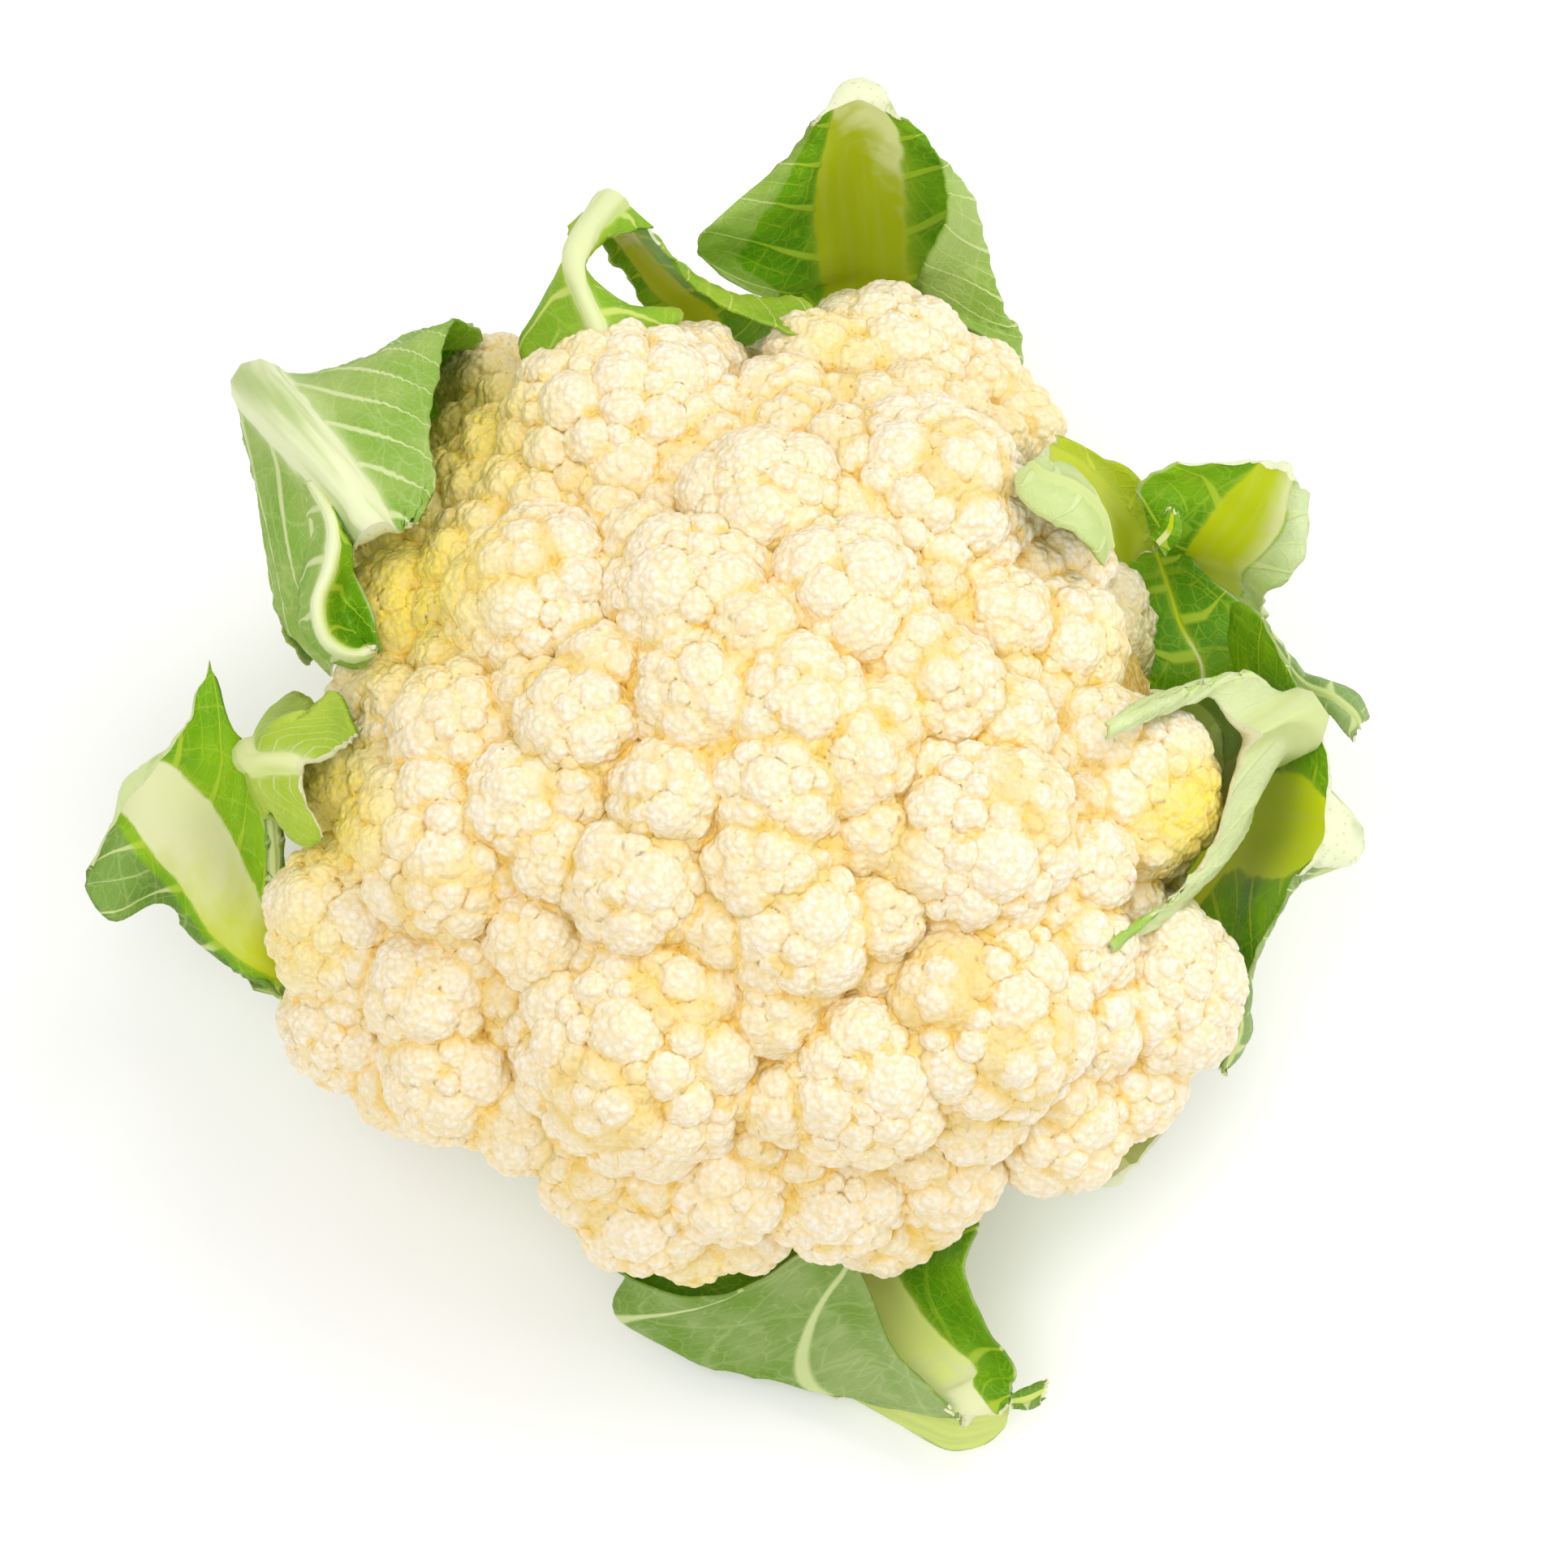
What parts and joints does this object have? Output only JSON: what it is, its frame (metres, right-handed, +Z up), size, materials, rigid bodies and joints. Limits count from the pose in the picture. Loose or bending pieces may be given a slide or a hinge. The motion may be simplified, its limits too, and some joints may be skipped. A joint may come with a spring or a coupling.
{
  "type": "cauliflower",
  "caption": "Trimmed whole cauliflower: a domed cream-white head of packed florets on a cut stalk, ringed by the cut-back stubs of its wavy green wrapper leaves.",
  "frame": {"origin": "middle of the stalk's flat cut face, on which the head stands", "axes": "+Z up through the head, -Y towards the front leaf, +Y towards the tall back leaf, +X to the right"},
  "size_m": [0.2293, 0.2293, 0.1248],
  "materials": {
    "curd": "matte, cream-white",
    "stalk": "moist cut face, pale green-white sides",
    "leaf": "satin green with pale ribs and veins"
  },
  "bodies": {
    "root": {"curd": "curd", "stalk": "stalk", "leaf_back": "leaf", "leaf_back_small": "leaf", "leaf_left_upper": "leaf", "leaf_left_small": "leaf", "leaf_left": "leaf", "leaf_front": "leaf", "leaf_front_right": "leaf", "leaf_right_large": "leaf", "leaf_right_pale": "leaf", "leaf_right": "leaf", "leaf_right_upper": "leaf", "leaf_front_left": "leaf"}
  },
  "joints": []
}
